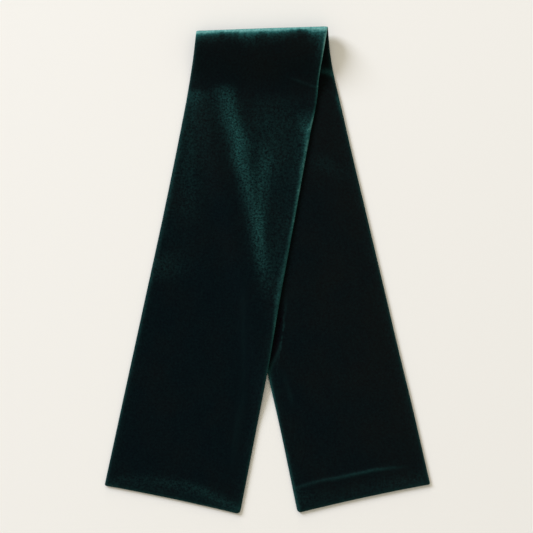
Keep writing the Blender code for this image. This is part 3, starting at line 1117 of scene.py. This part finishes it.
def velvet(name):
    material = bpy.data.materials.new(name)
    material.use_nodes = True
    nodes, links = material.node_tree.nodes, material.node_tree.links
    shader = nodes["Principled BSDF"]
    shader.inputs["Roughness"].default_value = 1.0
    shader.inputs["Specular IOR Level"].default_value = 0.0
    shader.inputs["Sheen Weight"].default_value = SHEEN_WEIGHT
    shader.inputs["Sheen Roughness"].default_value = SHEEN_ROUGHNESS
    shader.inputs["Sheen Tint"].default_value = SHEEN_TINT
    place = add_node(nodes, "ShaderNodeTexCoord").outputs["Object"]
    links.new(pile_colour(nodes, links, place), shader.inputs["Base Color"])
    fibre = add_node(nodes, "ShaderNodeTexNoise", **FIBRE_NOISE)
    links.new(place, fibre.inputs["Vector"])
    relief = add_node(nodes, "ShaderNodeBump", Strength=FIBRE_STRENGTH, Distance=FIBRE_HEIGHT)
    links.new(fibre.outputs["Fac"], relief.inputs["Height"])
    links.new(relief.outputs["Normal"], shader.inputs["Normal"])
    return material


green_velvet = velvet("green_velvet")
for strip in (outer_strip, inner_strip):
    strip.data.materials.append(green_velvet)
print("velvet made with", len(green_velvet.node_tree.nodes), "nodes")

# %% [markdown]
# ## Joining the strips to the rigid model
#
# A real scarf is limp, but this one keeps the shape in which it lies. Cloth has no joints, so both
# strips ride on the one body. Each could be split as the solids are, but velvet that runs unbroken
# round a fold should be one piece, so each strip stands for its three solids.

# %% Ride and replace
for strip, prefix in ((outer_strip, "outer"), (inner_strip, "inner")):
    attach(strip, "root")
    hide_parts(f"{prefix}_front", f"{prefix}_turn", f"{prefix}_back")

# %% [markdown]
# ## Floor and room
#
# The scarf lies on a plain pale surface, warm in tone and almost without gloss. The floor is one
# large square, so that no edge of it shows, a hair below the cloth. A closed room with walls could
# give the even light that fills the shadows, but a plain bright world does the same and is quicker.

# %% Floor and room
FLOOR_SIZE = 30.0  # metres
FLOOR_DROP = 0.0002  # just under the cloth
FLOOR_COLOUR = (0.861, 0.835, 0.779, 1.0)
FLOOR_ROUGHNESS = 0.9
FLOOR_GLOSS = 0.1
ROOM_COLOUR = (1.048, 1.0, 0.864)
ALL_LIGHT = 1.05  # what reaches the open floor from the room and the lamps together
MAIN_SHARE = 0.45
FILL_SHARE = 0.1

half = FLOOR_SIZE / 2
floor_mesh = bpy.data.meshes.new("floor")
floor_mesh.from_pydata(
    [(-half, -half, 0), (half, -half, 0), (half, half, 0), (-half, half, 0)], [], [(0, 1, 2, 3)])
floor = bpy.data.objects.new("floor", floor_mesh)
floor.location.z = -FLOOR_DROP
bpy.context.scene.collection.objects.link(floor)
paper = bpy.data.materials.new("pale_surface")
paper.use_nodes = True
paper_shader = paper.node_tree.nodes["Principled BSDF"]
paper_shader.inputs["Base Color"].default_value = FLOOR_COLOUR
paper_shader.inputs["Roughness"].default_value = FLOOR_ROUGHNESS
paper_shader.inputs["Specular IOR Level"].default_value = FLOOR_GLOSS
floor_mesh.materials.append(paper)

world = bpy.data.worlds.new("room")
world.use_nodes = True
room = world.node_tree.nodes["Background"]
room.inputs["Color"].default_value = (*ROOM_COLOUR, 1.0)
room.inputs["Strength"].default_value = ALL_LIGHT - MAIN_SHARE - FILL_SHARE
bpy.context.scene.world = world
print("light from the room:", round(room.inputs["Strength"].default_value, 2))

# %% [markdown]
# ## Lamps
#
# Two large round lamps stand far away. The main one, low at the upper left, gives the soft shadows
# on the right and below. The weak one, lower still and beyond the fold, adds to the fold's own
# shadow. A sun would be simpler, but its shadows are too sharp. The main lamp is a little cool and
# the room a little warm, so that what is left in a shadow looks warm.

# %% Lamps
LAMP_DISTANCE = 14.0  # metres
LAMP_SIZE = 6.2  # across
MAIN_HEIGHT_ANGLE = 24.5  # degrees above the floor
MAIN_TURN = 139.0  # degrees round from the right
MAIN_COLOUR = (0.936, 1.0, 1.18)
FILL_HEIGHT_ANGLE = 16.0
FILL_TURN = 96.0


def soft_lamp(name, height_angle, turn_angle, share, colour):
    """A round lamp far away, and the share of the light on the surface that comes from it."""
    rise, turn = math.radians(height_angle), math.radians(turn_angle)
    towards = Vector(
        (math.cos(turn) * math.cos(rise), math.sin(turn) * math.cos(rise), math.sin(rise)))
    lamp_data = bpy.data.lights.new(name, "AREA")
    lamp_data.shape = "DISK"
    lamp_data.size = LAMP_SIZE
    lamp_data.color = colour
    lamp_data.energy = share * math.pi**2 * LAMP_DISTANCE**2 / math.sin(rise)
    lamp = bpy.data.objects.new(name, lamp_data)
    lamp.location = towards * LAMP_DISTANCE
    lamp.rotation_mode = "QUATERNION"
    lamp.rotation_quaternion = towards.to_track_quat("Z", "Y")
    lamp.visible_camera = False
    bpy.context.scene.collection.objects.link(lamp)
    return lamp_data.energy


lamp_powers = [
    soft_lamp("main_lamp", MAIN_HEIGHT_ANGLE, MAIN_TURN, MAIN_SHARE, MAIN_COLOUR),
    soft_lamp("fill_lamp", FILL_HEIGHT_ANGLE, FILL_TURN, FILL_SHARE, ROOM_COLOUR)]
print("powers of the lamps in watts:", [round(power) for power in lamp_powers])

# %% [markdown]
# ## Camera
#
# The camera looks straight down on the scarf. From close by, the raised fold would look larger than
# the hems, so the camera stands high and its lens is long. The lens follows from the height and
# from how much of the floor is in the picture.

# %% Camera
CAMERA_HEIGHT = 4.0  # metres
FAR_END = 100.0  # nothing farther away is drawn
SENSOR_WIDTH = 36.0
FIELD = 799.5  # width of the floor that is in the picture
CENTRE_X, CENTRE_Y = -1.1, 5.5

camera_data = bpy.data.cameras.new("camera")
camera_data.sensor_width = SENSOR_WIDTH
camera_data.lens = SENSOR_WIDTH * CAMERA_HEIGHT / (FIELD * MM)
camera_data.clip_end = FAR_END
camera = bpy.data.objects.new("camera", camera_data)
camera.location = (CENTRE_X * MM, CENTRE_Y * MM, CAMERA_HEIGHT)
bpy.context.scene.collection.objects.link(camera)
bpy.context.scene.camera = camera
bpy.context.scene.view_settings.view_transform = "Standard"
print(f"lens in mm: {camera_data.lens:.0f}")
